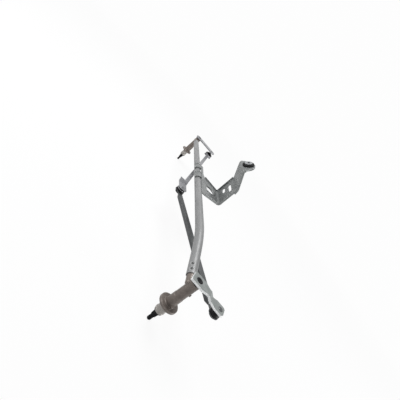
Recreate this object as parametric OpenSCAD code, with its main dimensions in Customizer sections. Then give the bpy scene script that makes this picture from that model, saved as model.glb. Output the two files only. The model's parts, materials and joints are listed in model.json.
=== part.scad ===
// Wiper linkage: a tube frame with two pivot housings, two levers and two link rods.
// All sizes are in millimetres. X runs along the frame from the near pivot to the far pivot.
// The spindles point to -Z. The origin is on the near pivot axis, on the seat of its flange.

/* [Frame tube] */
// distance between the two pivot axes
pivot_spacing = 766; // [740:1:790]
// outside diameter of the frame tube
tube_d = 18; // [17.5:0.5:19]
// wall of the frame tube
tube_wall = 1.5; // [1.2:0.1:2]
// sideways offset of the tube from the line of the pivots
tube_y = 4; // [2:0.5:6]
// slope of the long straight run of the tube, in degrees
tube_slope = 1.79; // [1.5:0.01:2]
// slope of the short run at the near housing, in degrees
tube_end_slope = 11.8; // [11:0.1:13]
// radius of the bend on the tube's centre line
tube_bend_r = 330; // [300:5:360]
// place along X where the bend begins
tube_bend_x = 155; // [150:1:160]
// height of the tube's centre where the bend begins
tube_bend_z = 75.5; // [75:0.1:77]
// bare length of stub between a housing and the tube
stub_gap = 11; // [10:0.5:14]
// depth of the crimp dimples in the tube
crimp_depth = 0.8; // [0.4:0.1:1]

/* [Pivot housings] */
// diameter of the housing barrel
barrel_d = 19; // [18.5:0.1:22]
// height of the barrel's upper face
barrel_top = 66; // [64:0.5:68]
// diameter of the mounting flange
flange_d = 38; // [34:0.5:42]
// thickness of the mounting flange
flange_t = 5; // [4:0.5:6]
// diameter of the neck below the flange
neck_d = 18.5; // [18:0.1:20]
// length of the neck below the flange
neck_len = 21.5; // [19:0.5:24]
// outside diameter of the bearing bushes
bearing_od = 15; // [14.6:0.1:15.4]
// length of one bearing bush
bearing_len = 16; // [12:1:18]

/* [Spindles and levers] */
// diameter of the spindle in its bearings
spindle_d = 12; // [11.5:0.1:12.4]
// major diameter of the threaded tip
tip_d = 7.8; // [7.4:0.1:8.2]
// length of spindle beyond the neck
tip_len = 26.8; // [25:0.2:30]
// distance between spindle and ball on the near lever
near_lever_len = 55; // [52:1:60]
// distance between spindle and ball on the far lever
far_lever_len = 70; // [66:1:72]
// angle of both levers from the -Y direction at rest, in degrees
lever_angle = 21; // [17:1:28]
// thickness of the lever plates
lever_t = 4; // [3.5:0.1:4.5]
// drop of the near lever's ball end
lever_drop = 5; // [4:0.5:6]
// width of a lever at its spindle
lever_w = 26; // [25:0.5:28]
// width of the near lever's waist
waist_w = 16; // [15:0.5:18]
// width of the near lever's ball end
lever_end_w = 22; // [20:0.5:24]
// thickness of the thrust washer under a lever
washer_t = 2.7; // [2:0.1:3]

/* [Ball joints] */
// diameter of the joint balls
ball_d = 11; // [10.8:0.1:11.4]
// drop from the near lever's ball end to the ball centre
near_ball_drop = 8.5; // [8:0.1:10]
// drop from the far lever to the ball centre
far_ball_drop = 12; // [11.5:0.1:13]
// drop from the crank pad to the ball centre
crank_ball_drop = 8.5; // [8:0.1:10]
// diameter of the ball socket on the near lever
socket_d = 19; // [18.5:0.5:21]
// diameter of the ball socket on the crank pad
crank_socket_d = 24; // [22:0.5:25]
// diameter of the bore for the motor crank pin
crank_pin_d = 5; // [4.4:0.1:5.4]

/* [Links] */
// place of the crank joint along X
crank_x = 328; // [315:1:340]
// place of the crank joint along Y
crank_y = 30.9; // [28:0.1:35]
// thickness of the link sheet
link_t = 1.5; // [1.2:0.1:1.8]
// width of the near link's channel
near_link_w = 13; // [12:0.5:15]
// depth of the near link's channel
near_link_h = 7; // [5:0.5:8]
// width of the far link's bar
far_link_w = 11; // [10:0.5:13]
// depth of the far link's turned edges
far_link_h = 4; // [3:0.5:5]
// width of the crank pad on the far link
pad_w = 25; // [23:0.5:27]
// drop of the crank pad below the bar
pad_drop = 7; // [6:0.5:8]

/* [Motor bracket] */
// place of the bracket's middle along X
bracket_x = 347; // [340:1:355]
// thickness of the bracket sheet
sheet_t = 2.5; // [2:0.1:3]
// depth of the stiffening lips
lip_d = 3.5; // [2.5:0.5:6]
// height of the motor plate's upper face
plate_z = 80; // [79.5:0.1:80.5]
// diameter of the motor boss hole
motor_d = 28; // [26:0.5:30]
// pitch circle of the motor bolts
motor_pcd = 40; // [39:0.5:42]
// diameter of the motor bolt holes
motor_bolt_d = 5.5; // [4.5:0.1:6]
// diameter of the rubber bush
rubber_d = 29.6; // [27:0.2:31]
// diameter of the bolt hole in the bush sleeve
sleeve_bore_d = 8.4; // [7:0.1:9]

/* [Fits] */
// radial play of a spindle in its bearings
bearing_play = 0.03; // [0.02:0.01:0.08]
// radial play of a ball in its socket
ball_play = 0.05; // [0.03:0.01:0.1]
// radial play of the crank ball, which opens the closed loop of the linkage
crank_play = 0.75; // [0.65:0.05:0.8]
// gap between faces that slide past each other
face_gap = 0.3; // [0.2:0.05:0.4]
// gap between parts that are fixed together
seat_gap = 0.02; // [0.01:0.01:0.05]

/* [Hidden] */
$fn = 72;
tube_r = tube_d / 2;
lever_under = barrel_top + face_gap + washer_t;
lever_top = lever_under + lever_t;
// length of a cut that runs right through a lever
cut_len = 2 * lever_top;
neck_end = -neck_len;
spindle_r = spindle_d / 2;
tip_end = neck_end - tip_len;
ball_r = ball_d / 2;
// pins of the two levers
near_pin_x = -near_lever_len * sin(lever_angle);
near_pin_y = -near_lever_len * cos(lever_angle);
far_pin_x = pivot_spacing - far_lever_len * sin(lever_angle);
far_pin_y = -far_lever_len * cos(lever_angle);
near_ball_z = lever_under - lever_drop - near_ball_drop;
// lower face of the near link's sheet, from the ball centres
sheet_low = -3.5;
far_ball_z = lever_under - far_ball_drop;
web_z = far_ball_z - 7;
pad_z = web_z - pad_drop;
crank_ball_z = pad_z - link_t - crank_ball_drop;
// the near link runs from the near lever's ball to the crank ball
near_dx = crank_x - near_pin_x;
near_dy = crank_y - near_pin_y;
near_dz = crank_ball_z - near_ball_z;
near_flat = sqrt(near_dx * near_dx + near_dy * near_dy);
near_link_len = sqrt(near_flat * near_flat + near_dz * near_dz);
near_turn = atan2(near_dy, near_dx);
near_pitch = -atan2(near_dz, near_flat);
// the far link runs level from the far lever's ball to the crank pad
pad_turn = 4.5;
joggle_x = 27;
cup_r = 13.5;
cup_h = 9;
bar_x = crank_x + (joggle_x + 6) * cos(pad_turn) + (pad_w - far_link_w) / 2 * sin(pad_turn);
bar_y = crank_y + (joggle_x + 6) * sin(pad_turn) - (pad_w - far_link_w) / 2 * cos(pad_turn);
bar_len = sqrt(pow(bar_x - far_pin_x, 2) + pow(bar_y - far_pin_y, 2));
bar_turn = atan2(bar_y - far_pin_y, bar_x - far_pin_x);
// centre of the tube's bend and the ends of its runs
bend_cx = tube_bend_x - tube_bend_r * sin(tube_slope);
bend_cz = tube_bend_z - tube_bend_r * cos(tube_slope);
run_x = bend_cx - tube_bend_r * sin(tube_end_slope);
run_z = bend_cz + tube_bend_r * cos(tube_end_slope);
near_end_x = barrel_d / 2 + stub_gap;
near_end_z = run_z - (run_x - near_end_x) * tan(tube_end_slope);
near_run = (run_x - near_end_x) / cos(tube_end_slope);
far_end_x = pivot_spacing - barrel_d / 2 - stub_gap - 12;
far_run = (far_end_x - tube_bend_x) / cos(tube_slope);
far_end_z = tube_bend_z - far_run * sin(tube_slope);
// profile of the bracket in the Y-Z plane
wall_y = -60;
fold_r = 6;
knee_r = 20;
knee_z = 134;
lean = 31;
arm_len = 42;
crown_r = 5;
eye_tilt = 45;
wide = 39;
narrow = 32;
eye_r = 32;
eye_at = 11;
// height of the rubber bush above the eye
bush_top = 5.4;
// flat steps of a bend in the bracket
bend_steps = 12;
// where two plates overlap, one lies this much inside the faces of the other
inset = 0.05;

// Tube

// places children on the long straight run, with their X along the tube
module on_run() {
    translate([tube_bend_x, tube_y, tube_bend_z])
        rotate([0, tube_slope, 0])
            children();
}

// places children at the near end of the tube, with their X along the tube
module on_near_end() {
    translate([near_end_x, tube_y, near_end_z])
        rotate([0, -tube_end_slope, 0])
            children();
}

module along_x(len, r) {
    rotate([0, 90, 0])
        cylinder(h = len, r = r);
}

// cut through the tube wall, as a ring; the bend is drawn thinner by the bending
module ring(thin) {
    difference() {
        circle(r = tube_r - thin);
        circle(r = tube_r - tube_wall + thin);
    }
}

module run_of_tube(len) {
    rotate([0, 90, 0])
        linear_extrude(len)
            ring(0);
}

module tube_solid() {
    on_near_end()
        run_of_tube(near_run + 0.5);
    translate([bend_cx, tube_y, bend_cz])
        rotate([90, 0, 0])
            rotate([0, 0, 90 - tube_slope])
                rotate_extrude(angle = tube_slope + tube_end_slope)
                    translate([tube_bend_r, 0])
                        ring(0.03);
    on_run()
        translate([-0.5, 0, 0])
            run_of_tube(far_run + 0.5);
}

// one round crimp mark on the side of the tube
module crimp(turn) {
    rotate([turn, 0, 0])
        translate([0, 0, tube_r + 8 - crimp_depth])
            sphere(r = 8);
}

module main_tube() {
    color("silver")
        difference() {
            tube_solid();
            on_near_end()
                translate([8, 0, 0])
                    crimp(-48);
            on_near_end()
                translate([19, 0, 0])
                    crimp(-48);
            on_run()
                translate([far_run - 8, 0, 0])
                    crimp(-60);
        }
}

// Pivot housings

// turned outside of a housing, with a small cast nub and a web on the flange
module housing_outside() {
    rotate_extrude()
        polygon([[0, neck_end], [neck_d / 2 - 0.8, neck_end], [neck_d / 2, neck_end + 0.8],
            [neck_d / 2, 0], [flange_d / 2 - 0.6, 0], [flange_d / 2, 0.6],
            [flange_d / 2, flange_t - 1], [flange_d / 2 - 1, flange_t],
            [barrel_d / 2 + 1.6, flange_t], [barrel_d / 2 + 0.6, flange_t + 1],
            [barrel_d / 2 + 0.4, 25], [barrel_d / 2 + 0.4, 26],
            [barrel_d / 2, 26.4], [barrel_d / 2, barrel_top - 0.8],
            [barrel_d / 2 - 0.8, barrel_top], [0, barrel_top]]);
    rotate([0, 0, -90 - lever_angle])
        translate([barrel_d / 2 - 1, 0, 42])
            rotate([0, 90, 0])
                cylinder(h = 2.6, r = 2.4);
    translate([-flange_d / 2 + 2.5, -1.5, flange_t - 0.5])
        cube([8, 3, 3]);
}

// bore of a housing, wider at both ends for the bearing bushes
module housing_bore() {
    translate([0, 0, neck_end - 1])
        cylinder(h = neck_len + barrel_top + 2, r = bearing_od / 2 - 1.1);
    translate([0, 0, neck_end - 1])
        cylinder(h = 3.7 + bearing_len + 1, r = bearing_od / 2);
    translate([0, 0, barrel_top - bearing_len - 2])
        cylinder(h = bearing_len + 3, r = bearing_od / 2);
}

// a stub that fills the tube's end, with a bare collar up to the barrel
module stub(bare, inside) {
    translate([-bare, 0, 0])
        along_x(bare - 0.1, tube_r - tube_wall);
    translate([-bare, 0, 0])
        sphere(r = tube_r - tube_wall + 0.3);
    translate([-1, 0, 0])
        along_x(inside + 1, tube_r - tube_wall - seat_gap);
}

module near_housing() {
    color("rosybrown")
        difference() {
            union() {
                housing_outside();
                on_near_end()
                    stub(near_end_x - 6, 24);
            }
            housing_bore();
        }
}

module far_housing() {
    color("rosybrown")
        difference() {
            union() {
                translate([pivot_spacing, 0, 0])
                    housing_outside();
                on_run()
                    translate([far_run, 0, 0])
                        mirror([1, 0, 0])
                            stub(pivot_spacing - far_end_x - 6, 24);
            }
            translate([pivot_spacing, 0, 0])
                housing_bore();
        }
}

module bearing() {
    difference() {
        cylinder(h = bearing_len, r = bearing_od / 2 - seat_gap);
        translate([0, 0, -1])
            cylinder(h = bearing_len + 2, r = spindle_r + bearing_play);
    }
}

module bearing_upper() {
    translate([0, 0, barrel_top - bearing_len - 1.5])
        bearing();
}

module bearing_lower() {
    translate([0, 0, neck_end + 3.2])
        bearing();
}

module near_bearing_upper() {
    color("peru")
        bearing_upper();
}

module near_bearing_lower() {
    color("peru")
        bearing_lower();
}

module far_bearing_upper() {
    color("peru")
        translate([pivot_spacing, 0, 0])
            bearing_upper();
}

module far_bearing_lower() {
    color("peru")
        translate([pivot_spacing, 0, 0])
            bearing_lower();
}

// lip seal in the mouth of the neck
module seal() {
    difference() {
        translate([0, 0, neck_end + 0.2])
            cylinder(h = 2.8, r = bearing_od / 2 - seat_gap);
        translate([0, 0, neck_end - 1])
            cylinder(h = 5, r = spindle_r + 2 * bearing_play);
        translate([0, 0, neck_end + 0.1])
            cylinder(h = 1.2, r1 = spindle_r + 1, r2 = spindle_r);
    }
}

module near_seal() {
    color("dimgray")
        seal();
}

module far_seal() {
    color("dimgray")
        translate([pivot_spacing, 0, 0])
            seal();
}

// Spindles

groove_top = neck_end - face_gap - 1.1;
cone_top = neck_end - 4.6;
cone_end = cone_top - 10;

module spindle() {
    rotate_extrude()
        polygon([[0, tip_end], [tip_d / 2 - 0.9, tip_end], [tip_d / 2, tip_end + 0.9],
            [tip_d / 2, cone_end], [tip_d / 2 + 1, cone_end], [spindle_r - 0.2, cone_top],
            [spindle_r, cone_top + 0.2], [spindle_r, groove_top - 1.2],
            [spindle_r - 0.7, groove_top - 1.2], [spindle_r - 0.7, groove_top],
            [spindle_r, groove_top], [spindle_r, lever_under], [spindle_r - 1, lever_under],
            [spindle_r - 1, lever_top + 0.2], [spindle_r - 2.2, lever_top + 0.7],
            [0, lever_top + 0.7]]);
}

module near_spindle() {
    color("darkslategray")
        spindle();
}

module far_spindle() {
    color("darkslategray")
        translate([pivot_spacing, 0, 0])
            spindle();
}

module thrust_washer() {
    difference() {
        translate([0, 0, barrel_top + face_gap])
            cylinder(h = washer_t, r = barrel_d / 2 + 0.6);
        translate([0, 0, barrel_top])
            cylinder(h = washer_t + 2, r = spindle_r + seat_gap);
    }
}

module near_thrust_washer() {
    color("dimgray")
        thrust_washer();
}

module far_thrust_washer() {
    color("dimgray")
        translate([pivot_spacing, 0, 0])
            thrust_washer();
}

module shim() {
    difference() {
        translate([0, 0, groove_top])
            cylinder(h = 1.1, r = neck_d / 2 - 0.8);
        translate([0, 0, groove_top - 1])
            cylinder(h = 4, r = spindle_r + seat_gap);
    }
}

module near_shim() {
    color("gainsboro")
        shim();
}

module far_shim() {
    color("gainsboro")
        translate([pivot_spacing, 0, 0])
            shim();
}

// retaining ring with two eyelets, open on one side
module circlip() {
    translate([0, 0, groove_top - 1.15])
        linear_extrude(1.1)
            difference() {
                union() {
                    circle(r = spindle_r + 1.2);
                    translate([spindle_r + 0.7, 2.2])
                        circle(r = 1.8);
                    translate([spindle_r + 0.7, -2.2])
                        circle(r = 1.8);
                }
                circle(r = spindle_r - 0.65);
                translate([0, -0.8])
                    square([20, 1.6]);
                translate([spindle_r + 0.7, 2.2])
                    circle(r = 0.7);
                translate([spindle_r + 0.7, -2.2])
                    circle(r = 0.7);
            }
}

module near_circlip() {
    color("gray")
        circlip();
}

module far_circlip() {
    color("gray")
        translate([pivot_spacing, 0, 0])
            circlip();
}

// Levers

// turns children so that their X runs along a lever at rest
module on_lever(px) {
    translate([px, 0, 0])
        rotate([0, 0, -90 - lever_angle])
            children();
}

module near_lever() {
    drop_x = near_lever_len - 28;
    half = lever_w / 2;
    waist = waist_w / 2;
    end = lever_end_w / 2;
    side = [[half - 1, half - 0.5], [near_lever_len - 33, waist], [near_lever_len - 18, waist - 0.5],
        [near_lever_len - 10, end], [near_lever_len + 5, end], [near_lever_len + 8, end - 3]];
    color("gainsboro")
        on_lever(0)
            difference() {
                intersection() {
                    linear_extrude(cut_len)
                        polygon(concat([[-half, 1.5 - half], [1 - half, 0.5 - half]],
                            [for (p = side) [p[0], -p[1]]], reversed(side),
                            [[1 - half, half - 0.5], [-half, half - 1.5]]));
                    rotate([90, 0, 0])
                        linear_extrude(cut_len, center = true)
                            polygon([[-lever_w, lever_under], [drop_x - 1, lever_under],
                                [drop_x + 7, lever_under - lever_drop],
                                [near_lever_len + lever_w, lever_under - lever_drop],
                                [near_lever_len + lever_w, lever_top - lever_drop],
                                [drop_x + 8, lever_top - lever_drop],
                                [drop_x, lever_top], [-lever_w, lever_top]]);
                }
                cylinder(h = cut_len, r = spindle_r - 1 + seat_gap);
                translate([near_lever_len, 0, 0])
                    cylinder(h = cut_len, r = 3.2 + seat_gap);
            }
}

module far_lever() {
    color("gainsboro")
        on_lever(pivot_spacing)
            difference() {
                translate([0, 0, lever_under])
                    linear_extrude(lever_t)
                        union() {
                            circle(r = lever_w / 2);
                            translate([0, -lever_w / 2])
                                square([far_lever_len, lever_w]);
                            translate([far_lever_len, 0])
                                circle(r = lever_w / 2);
                        }
                cylinder(h = cut_len, r = spindle_r - 1 + seat_gap);
                translate([far_lever_len, 0, 0])
                    cylinder(h = cut_len, r = 3.2 + seat_gap);
            }
}

// Ball joints

// a riveted ball stud hanging from a plate whose lower face is at z = under
module ball_stud(under, plate_t, centre) {
    translate([0, 0, under + plate_t])
        rotate_extrude()
            polygon([[0, -1], [3.2, -1], [3.2, 0], [4.6, 0], [4.6, 0.5], [3.3, 1.2], [0, 1.2]]);
    translate([0, 0, centre])
        cylinder(h = under + plate_t - centre - 0.5, r = 3.2);
    translate([0, 0, under - 1.2])
        cylinder(h = 1.2, r = 5);
    translate([0, 0, centre])
        sphere(r = ball_r);
}

module near_ball_stud() {
    color("silver")
        on_lever(0)
            translate([near_lever_len, 0, 0])
                ball_stud(lever_under - lever_drop, lever_t, near_ball_z);
}

module far_ball_stud() {
    color("silver")
        on_lever(pivot_spacing)
            translate([far_lever_len, 0, 0])
                ball_stud(lever_under, lever_t, far_ball_z);
}

// plastic socket of diameter d around a ball at the origin, with its mouth towards +Z
module socket(d, play, mouth, low) {
    r = d / 2;
    cap = r - 2.4;
    under = sheet_low - seat_gap;
    over = sheet_low + link_t + seat_gap;
    difference() {
        rotate_extrude()
            polygon([[0, -low], [cap - 2, -low], [cap - 0.4, 0.8 - low], [cap, -4.4], [cap, under],
                [r - 3.4, under], [r - 3.4, over], [r - 0.5, over], [r, over + 0.5], [r, 1.8],
                [r - 1, 3.6], [mouth + 2.4, 6], [mouth + 1.6, 6.5], [0, 6.5]]);
        sphere(r = ball_r + play);
        cylinder(h = 8, r = mouth);
    }
}

module on_near_link() {
    translate([near_pin_x, near_pin_y, near_ball_z])
        rotate([0, 0, near_turn])
            rotate([0, near_pitch, 0])
                children();
}

module near_socket_lever() {
    color("dimgray")
        on_near_link()
            socket(socket_d, ball_play, 4.7, ball_r + 1.5);
}

module near_socket_crank() {
    color("dimgray")
        on_near_link()
            translate([near_link_len, 0, 0])
                socket(crank_socket_d, crank_play, 5.2, ball_r + 3.1);
}

// Links

// pressed channel, open downwards, with a flat round eye at each end
module near_link_rod() {
    top = sheet_low + link_t;
    color("lightslategray")
        on_near_link()
            difference() {
                union() {
                    translate([0, 0, sheet_low])
                        cylinder(h = link_t, r = socket_d / 2 + 0.5);
                    translate([near_link_len, 0, sheet_low])
                        cylinder(h = link_t, r = crank_socket_d / 2 + 0.5);
                    translate([0, -near_link_w / 2, sheet_low])
                        cube([near_link_len, near_link_w, link_t]);
                    for (side = [-near_link_w / 2 + link_t, near_link_w / 2])
                        translate([0, side, 0])
                            rotate([90, 0, 0])
                                linear_extrude(link_t)
                                    polygon([[14, top], [near_link_len - 14, top],
                                        [near_link_len - 14, sheet_low],
                                        [near_link_len - 26, top - near_link_h],
                                        [26, top - near_link_h], [14, sheet_low]]);
                }
                translate([0, 0, sheet_low - 1])
                    cylinder(h = link_t + 2, r = socket_d / 2 - 3.4 + seat_gap);
                translate([near_link_len, 0, sheet_low - 1])
                    cylinder(h = link_t + 2, r = crank_socket_d / 2 - 3.4 + seat_gap);
            }
}

// places children on the crank pad, with X towards the far lever
module on_pad() {
    translate([crank_x, crank_y, 0])
        rotate([0, 0, pad_turn])
            children();
}

// pressed bar with turned-down edges, a drawn cup at the lever end and a pad at the crank end
module far_link_rod() {
    half = far_link_w / 2;
    low = web_z - link_t;
    pad_low = pad_z - link_t;
    color("lightslategray")
        difference() {
            union() {
                translate([far_pin_x, far_pin_y, 0])
                    rotate([0, 0, bar_turn]) {
                        translate([10, -half, low + inset])
                            cube([bar_len - 10, far_link_w, link_t - 2 * inset]);
                        translate([12, -half, web_z - far_link_h])
                            cube([bar_len - 14, link_t, far_link_h - inset]);
                        translate([12, half - link_t, web_z - far_link_h])
                            cube([bar_len - 14, link_t, far_link_h - inset]);
                    }
                on_pad()
                    translate([0, pad_w / 2, 0])
                        rotate([90, 0, 0])
                            linear_extrude(pad_w)
                                polygon([[-1, pad_low], [joggle_x, pad_low], [joggle_x + 5, low],
                                    [joggle_x + 9, low], [joggle_x + 9, web_z], [joggle_x + 4, web_z],
                                    [joggle_x - 1, pad_z], [-1, pad_z]]);
                on_pad()
                    translate([0, 0, pad_low])
                        linear_extrude(link_t)
                            polygon([[1, -pad_w / 2], [-6, -pad_w / 2], [-10, -pad_w / 2 + 5],
                                [-10, pad_w / 2 - 5], [-6, pad_w / 2], [1, pad_w / 2]]);
                translate([far_pin_x, far_pin_y, low])
                    cylinder(h = cup_h, r = cup_r);
                translate([far_pin_x, far_pin_y, low])
                    cylinder(h = link_t, r = cup_r + 1.5);
            }
            translate([far_pin_x, far_pin_y, web_z])
                cylinder(h = 20, r = cup_r - link_t);
            translate([far_pin_x, far_pin_y, low - 5])
                cylinder(h = 20, r = 5);
            translate([crank_x, crank_y, pad_low - 1])
                cylinder(h = 5, r = 4.8 + seat_gap);
        }
}

module far_socket_lever() {
    r = cup_r - link_t - seat_gap;
    rim = web_z - link_t + cup_h - far_ball_z + seat_gap;
    color("dimgray")
        translate([far_pin_x, far_pin_y, far_ball_z])
            difference() {
                rotate_extrude()
                    polygon([[0, -7], [r, -7], [r, rim], [cup_r, rim], [cup_r, rim + 1.6],
                        [cup_r - 1.2, rim + 2.4], [7.6, 4], [6.2, 4.7], [0, 4.7]]);
                sphere(r = ball_r + ball_play);
                cylinder(h = 8, r = 4.7);
            }
}

// ball stud on the crank pad, bored from above for the motor crank's pin
module crank_stud() {
    color("silver")
        translate([crank_x, crank_y, 0])
            difference() {
                union() {
                    translate([0, 0, pad_z])
                        cylinder(h = 1.2, r = 6);
                    translate([0, 0, pad_z - link_t - 0.5])
                        cylinder(h = link_t + 1, r = 4.8);
                    translate([0, 0, pad_z - link_t - 1.2])
                        cylinder(h = 1.2, r = 6);
                    translate([0, 0, crank_ball_z])
                        cylinder(h = crank_ball_drop, r = 3.8);
                    translate([0, 0, crank_ball_z])
                        sphere(r = ball_r);
                }
                translate([0, 0, crank_ball_z + 3])
                    cylinder(h = 30, r = crank_pin_d / 2);
            }
}

// Motor bracket

arm_dir = [sin(lean), cos(lean)];
arm_out = [-cos(lean), sin(lean)];
knee = [wall_y + knee_r, knee_z];
arm_start = knee + knee_r * arm_out;
arm_end = arm_start + arm_len * arm_dir;
crown = arm_end + (sheet_t + crown_r) * arm_out;
eye_out = [cos(eye_tilt), sin(eye_tilt)];
eye_dir = [-sin(eye_tilt), cos(eye_tilt)];
eye_start = crown + (sheet_t + crown_r) * eye_out;
fold = [wall_y + fold_r, plate_z + fold_r];

// ring sector in 2D, from angle a to angle b
module sector(r_in, r_out, a, b) {
    intersection() {
        difference() {
            circle(r = r_out);
            circle(r = r_in);
        }
        polygon([[0, 0], 60 * [cos(a), sin(a)], 60 * [cos((a + b) / 2), sin((a + b) / 2)],
            60 * [cos(b), sin(b)]]);
    }
}

function arc(c, r, a, b) =
    [for (i = [0:bend_steps]) c + r * [cos(a + (b - a) * i / bend_steps), sin(a + (b - a) * i / bend_steps)]];

// side view of the strip's face at depth d, from the plate to a length past the crown
function face_path(d, past) = concat(
    [[fold[0] + 1, plate_z - d]],
    arc(fold, fold_r + d, 270, 180),
    arc(knee, knee_r + d, 180, 180 - lean),
    arc(crown, sheet_t + crown_r - d, -lean, eye_tilt),
    [eye_start - d * eye_out + past * eye_dir]);

function reversed(list) = [for (i = [len(list) - 1:-1:0]) list[i]];

// the bent strip between two depths, over the whole width
module strip(d_in, d_out, past) {
    translate([bracket_x - wide, 0, 0])
        rotate([90, 0, 90])
            linear_extrude(2 * wide)
                polygon(concat(face_path(d_in, past), reversed(face_path(d_out, past))));
}

// front outline of the arm, inset by i
module arm_outline(i) {
    translate([bracket_x, 100, 0])
        rotate([90, 0, 0])
            linear_extrude(300)
                polygon([[-wide + i, 60], [wide - i, 60], [wide - i, knee_z], [narrow - i, eye_start[1]],
                    [narrow - i, 230], [-narrow + i, 230], [-narrow + i, eye_start[1]],
                    [-wide + i, knee_z]]);
}

// frame at the eye: X along the part, Y along the pad, Z out of the pad
module on_eye() {
    translate([bracket_x, eye_start[0], eye_start[1]])
        rotate([90 - eye_tilt, 0, 180])
            children();
}

// what is cut off the strip's end to make the eye round
module eye_corners() {
    on_eye()
        translate([0, 0, -15])
            linear_extrude(30)
                difference() {
                    translate([-45, 1])
                        square([90, 50]);
                    translate([0, -4])
                        circle(r = eye_r);
                }
}

// stiffening lips on the outer side of the arm, above the knee
module arm_lips() {
    intersection() {
        strip(sheet_t / 3, sheet_t + lip_d, 2);
        difference() {
            arm_outline(0);
            arm_outline(sheet_t);
        }
        translate([bracket_x - 60, wall_y - 40, knee_z - 4])
            cube([120, 120, 120]);
    }
}

// lips of the upright wall, turned towards the motor
module wall_lips() {
    intersection() {
        strip(-lip_d, sheet_t / 2, 2);
        difference() {
            arm_outline(0);
            arm_outline(sheet_t);
        }
        translate([bracket_x - 60, wall_y - 40, plate_z - 10])
            cube([120, 120, knee_z + 16 - plate_z]);
    }
}

// lip under the round edge of the eye
module eye_lip() {
    on_eye()
        translate([0, 0, -sheet_t - lip_d + 2])
            linear_extrude(sheet_t + lip_d - 3)
                intersection() {
                    difference() {
                        translate([0, -4])
                            circle(r = eye_r - inset);
                        translate([0, -4])
                            circle(r = eye_r - sheet_t);
                    }
                    translate([-50, 1])
                        square([100, 50]);
                }
}

// flat motor plate that starts at the tube and narrows to the fold
module plate() {
    translate([bracket_x, 0, plate_z - sheet_t])
        linear_extrude(sheet_t)
            polygon([[-52, 0], [122, 0], [122, -6], [70, -7], [55, -12], [wide, fold[0]],
                [-wide, fold[0]], [-52, -10]]);
    translate([bracket_x, 0, plate_z - sheet_t + inset])
        linear_extrude(sheet_t + lip_d - 2 * inset)
            polygon([[55, -12], [wide, fold[0]], [wide - sheet_t, fold[0]], [55 - sheet_t, -12]]);
    translate([bracket_x, 0, plate_z - sheet_t + inset])
        linear_extrude(sheet_t + lip_d - 2 * inset)
            polygon([[-52, -10], [-wide, fold[0]], [-wide + sheet_t, fold[0]], [-52 + sheet_t, -10]]);
}

// strap over the tube, from x to x + len, with raised rims
module strap(x, len) {
    on_run()
        translate([(x - tube_bend_x) / cos(tube_slope), 0, 0])
            rotate([90, 0, 90]) {
                linear_extrude(len)
                    sector(tube_r - 0.5, tube_r + sheet_t, -3, 122);
                linear_extrude(4)
                    sector(tube_r - 0.5, tube_r + sheet_t + 1, -3, 122);
                translate([0, 0, len - 4])
                    linear_extrude(4)
                        sector(tube_r - 0.5, tube_r + sheet_t + 1, -3, 122);
            }
}

// window with round ends in the upright wall, centred on x and z
module window(x, z, w, h) {
    translate([x, wall_y + 5, z])
        rotate([90, 0, 0])
            linear_extrude(20) {
                translate([-w / 2 + h / 2, 0])
                    circle(r = h / 2);
                translate([w / 2 - h / 2, 0])
                    circle(r = h / 2);
                translate([-w / 2 + h / 2, -h / 2])
                    square([w - h, h]);
            }
}

module motor_bracket() {
    color("lightgray")
        difference() {
            union() {
                difference() {
                    intersection() {
                        strip(0, sheet_t, eye_r);
                        arm_outline(0);
                    }
                    eye_corners();
                }
                arm_lips();
                wall_lips();
                eye_lip();
                plate();
                strap(380, 38);
                strap(446, 34);
            }
            on_run()
                translate([20, 0, 0])
                    along_x(far_run - 40, tube_r + seat_gap);
            translate([bracket_x, -29, plate_z - 20])
                cylinder(h = 40, r = motor_d / 2);
            for (a = [30, 150, 270])
                translate([bracket_x, -29, plate_z - 20])
                    rotate([0, 0, a])
                        translate([motor_pcd / 2, 0, 0])
                            cylinder(h = 40, r = motor_bolt_d / 2);
            window(bracket_x + 14, 102, 24, 9);
            window(bracket_x + 2, 122, 36, 9);
            translate([bracket_x - 23, wall_y + 5, 128])
                rotate([90, 0, 0])
                    cylinder(h = 20, r = 3.4);
            on_eye()
                translate([0, eye_at, -20])
                    cylinder(h = 40, r = 11);
            on_eye()
                translate([23, 6, -20])
                    cylinder(h = 40, r = 2.5);
        }
}

// Rubber bush of the third mounting point

module rubber_bush() {
    r = rubber_d / 2;
    color("dimgray")
        on_eye()
            translate([0, eye_at, 0])
                difference() {
                    rotate_extrude()
                        polygon([[0, -sheet_t - 5], [r - 4, -sheet_t - 5], [r - 2.6, -sheet_t - 3.5],
                            [r - 2.6, -sheet_t - seat_gap], [11 - seat_gap, -sheet_t - seat_gap],
                            [11 - seat_gap, seat_gap], [r - 0.6, seat_gap], [r, 0.8],
                            [r, bush_top - 2.4], [r - 1.6, bush_top - 0.7], [10.6, bush_top],
                            [0, bush_top]]);
                    translate([0, 0, -20])
                        cylinder(h = 40, r = 6.5 + seat_gap);
                }
}

module bush_sleeve() {
    color("gainsboro")
        on_eye()
            translate([0, eye_at, 0])
                difference() {
                    union() {
                        translate([0, 0, -sheet_t - 6])
                            cylinder(h = sheet_t + bush_top + 7.6, r = 6.5);
                        translate([0, 0, bush_top + seat_gap])
                            cylinder(h = 1.58, r = 10);
                    }
                    translate([0, 0, -20])
                        cylinder(h = 40, r = sleeve_bore_d / 2);
                }
}

// Drawing

main_tube();
near_housing();
far_housing();
near_bearing_upper();
near_bearing_lower();
far_bearing_upper();
far_bearing_lower();
near_seal();
far_seal();
motor_bracket();
rubber_bush();
bush_sleeve();
near_spindle();
near_lever();
near_ball_stud();
near_thrust_washer();
near_shim();
near_circlip();
far_spindle();
far_lever();
far_ball_stud();
far_thrust_washer();
far_shim();
far_circlip();
near_link_rod();
near_socket_lever();
near_socket_crank();
far_link_rod();
far_socket_lever();
crank_stud();
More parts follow.
